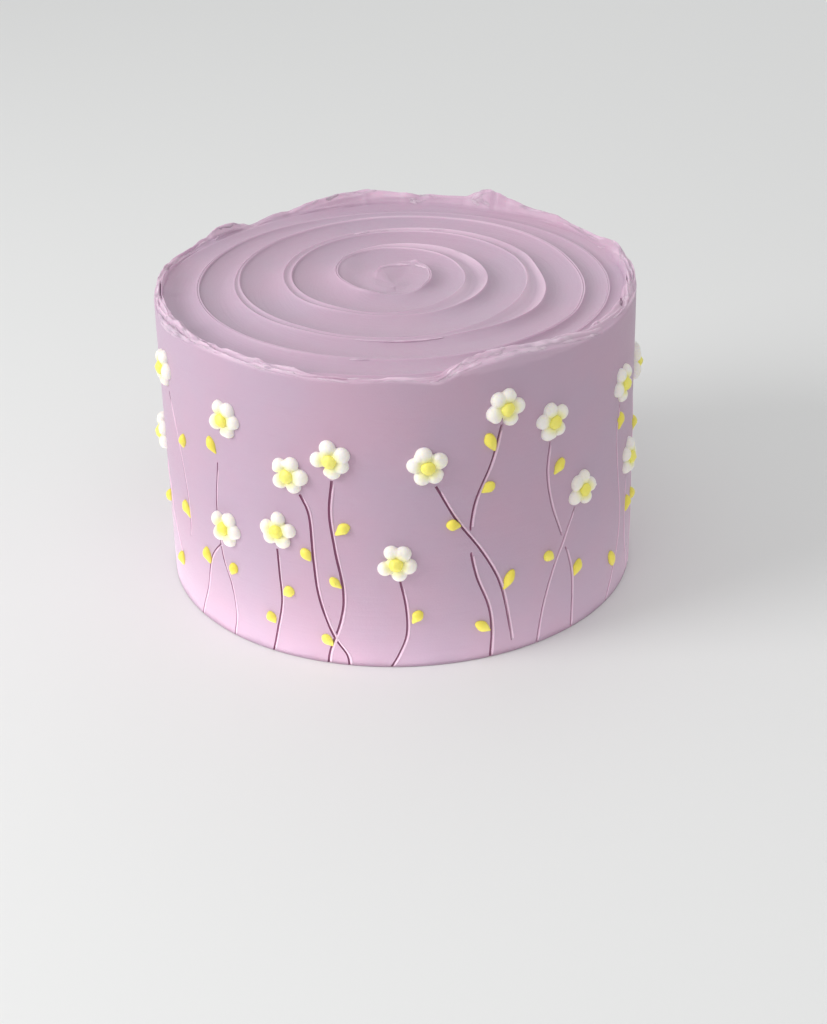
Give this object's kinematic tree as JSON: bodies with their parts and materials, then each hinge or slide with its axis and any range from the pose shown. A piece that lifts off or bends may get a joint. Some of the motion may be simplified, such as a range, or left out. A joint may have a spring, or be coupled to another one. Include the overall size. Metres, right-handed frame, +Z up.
{
  "type": "birthday cake",
  "caption": "Round tall cake in lilac buttercream with a spiral swept top, a ragged lip, scored stems, yellow leaves and piped white daisies round its side.",
  "frame": {"origin": "middle of the cake's base, on the surface that it stands on", "axes": "+Z up; -Y is the front of the cake, the side that the picture shows; +X is to the right when the front is looked at"},
  "size_m": [0.187, 0.1877, 0.121],
  "materials": {
    "lilac_buttercream": "soft satin buttercream, smoothed by a scraper, with fine pits",
    "white_buttercream": "soft satin piped buttercream, warm white",
    "yellow_buttercream": "soft satin piped buttercream, lemon yellow"
  },
  "bodies": {
    "root": {"cake": "lilac_buttercream", "daisy_01_petals": "white_buttercream", "daisy_01_heart": "yellow_buttercream", "daisy_02_petals": "white_buttercream", "daisy_02_heart": "yellow_buttercream", "daisy_03_petals": "white_buttercream", "daisy_03_heart": "yellow_buttercream", "daisy_04_petals": "white_buttercream", "daisy_04_heart": "yellow_buttercream", "daisy_05_petals": "white_buttercream", "daisy_05_heart": "yellow_buttercream", "daisy_06_petals": "white_buttercream", "daisy_06_heart": "yellow_buttercream", "daisy_07_petals": "white_buttercream", "daisy_07_heart": "yellow_buttercream", "daisy_08_petals": "white_buttercream", "daisy_08_heart": "yellow_buttercream", "daisy_09_petals": "white_buttercream", "daisy_09_heart": "yellow_buttercream", "daisy_10_petals": "white_buttercream", "daisy_10_heart": "yellow_buttercream", "daisy_11_petals": "white_buttercream", "daisy_11_heart": "yellow_buttercream", "daisy_12_petals": "white_buttercream", "daisy_12_heart": "yellow_buttercream", "daisy_13_petals": "white_buttercream", "daisy_13_heart": "yellow_buttercream", "daisy_14_petals": "white_buttercream", "daisy_14_heart": "yellow_buttercream", "daisy_15_petals": "white_buttercream", "daisy_15_heart": "yellow_buttercream", "daisy_16_petals": "white_buttercream", "daisy_16_heart": "yellow_buttercream", "daisy_17_petals": "white_buttercream", "daisy_17_heart": "yellow_buttercream", "daisy_18_petals": "white_buttercream", "daisy_18_heart": "yellow_buttercream", "daisy_19_petals": "white_buttercream", "daisy_19_heart": "yellow_buttercream", "daisy_20_petals": "white_buttercream", "daisy_20_heart": "yellow_buttercream", "daisy_21_petals": "white_buttercream", "daisy_21_heart": "yellow_buttercream", "daisy_22_petals": "white_buttercream", "daisy_22_heart": "yellow_buttercream", "daisy_23_petals": "white_buttercream", "daisy_23_heart": "yellow_buttercream", "daisy_24_petals": "white_buttercream", "daisy_24_heart": "yellow_buttercream", "daisy_25_petals": "white_buttercream", "daisy_25_heart": "yellow_buttercream", "daisy_26_petals": "white_buttercream", "daisy_26_heart": "yellow_buttercream", "daisy_27_petals": "white_buttercream", "daisy_27_heart": "yellow_buttercream"}
  },
  "joints": []
}
